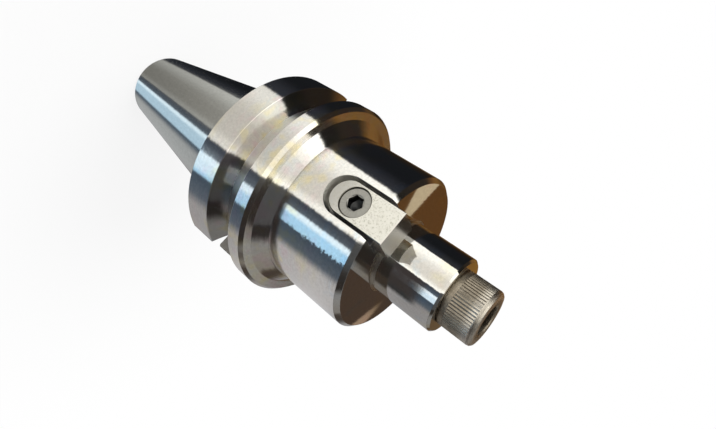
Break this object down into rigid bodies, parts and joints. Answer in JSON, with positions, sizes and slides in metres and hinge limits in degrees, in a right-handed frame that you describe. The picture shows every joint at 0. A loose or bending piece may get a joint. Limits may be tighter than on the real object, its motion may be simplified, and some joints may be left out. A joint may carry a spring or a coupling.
{
  "type": "shell mill arbor",
  "caption": "Taper-shank arbor with a gripper-groove flange, a shoulder with drive keys, a round pilot and a clamp screw that holds a face mill.",
  "frame": {"origin": "centre of the gauge circle, where the 7/24 taper measures 44.45 mm across", "axes": "+Z along the arbor's axis towards the pilot and clamp screw, +X through the first drive key, +Y through a flange drive slot"},
  "size_m": [0.063, 0.063, 0.1504],
  "materials": {
    "ground_steel": "ground and polished",
    "screw_steel": "satin, knurled",
    "key_steel": "fine blasted",
    "key_screw_steel": "satin"
  },
  "bodies": {
    "root": {"arbor_body": "ground_steel", "clamp_screw": "screw_steel", "drive_key_1": "key_steel", "drive_key_2": "key_steel", "key_screw_1": "key_screw_steel", "key_screw_2": "key_screw_steel"}
  },
  "joints": []
}
